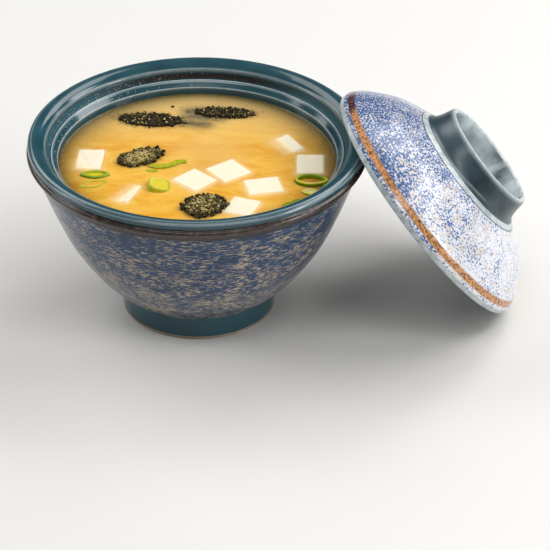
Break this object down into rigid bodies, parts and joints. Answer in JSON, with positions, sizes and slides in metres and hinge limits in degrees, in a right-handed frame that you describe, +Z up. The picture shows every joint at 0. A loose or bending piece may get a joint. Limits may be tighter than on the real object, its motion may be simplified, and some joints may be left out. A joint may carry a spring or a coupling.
{
  "type": "miso soup",
  "caption": "Miso soup with tofu cubes, seaweed and spring onion in a lidded stoneware bowl, its lid leaning on the rim.",
  "frame": {"origin": "middle of the bottom of the box round bowl and lid, on the surface that they stand on", "axes": "+Z up, +X from the bowl towards the lid that leans on its right, +Y to the back"},
  "size_m": [0.2276, 0.1554, 0.0994],
  "materials": {
    "bowl_glaze": "glossy dark teal glaze, speckled with blue and beige outside, with a brown iron band under the rim",
    "lid_glaze": "glossy blue and white speckled glaze with an orange-brown band near the edge",
    "broth": "cloudy golden miso broth, wet and glossy",
    "bean_curd": "moist cream white tofu",
    "laver": "wet, dark, crumpled seaweed",
    "spring_onion": "moist light green spring onion, darker outside"
  },
  "bodies": {
    "root": {"bowl": "bowl_glaze", "soup": "broth", "lid": "lid_glaze", "tofu_1": "bean_curd", "tofu_2": "bean_curd", "tofu_3": "bean_curd", "tofu_4": "bean_curd", "tofu_5": "bean_curd", "tofu_6": "bean_curd", "tofu_7": "bean_curd", "tofu_8": "bean_curd", "seaweed_1": "laver", "seaweed_2": "laver", "seaweed_3": "laver", "seaweed_4": "laver", "scallion_ring_1": "spring_onion", "scallion_ring_2": "spring_onion", "scallion_ring_3": "spring_onion", "scallion_ring_4": "spring_onion", "scallion_ring_5": "spring_onion", "scallion_strip_1": "spring_onion", "scallion_strip_2": "spring_onion", "scallion_strip_3": "spring_onion", "scallion_strip_4": "spring_onion"}
  },
  "joints": []
}
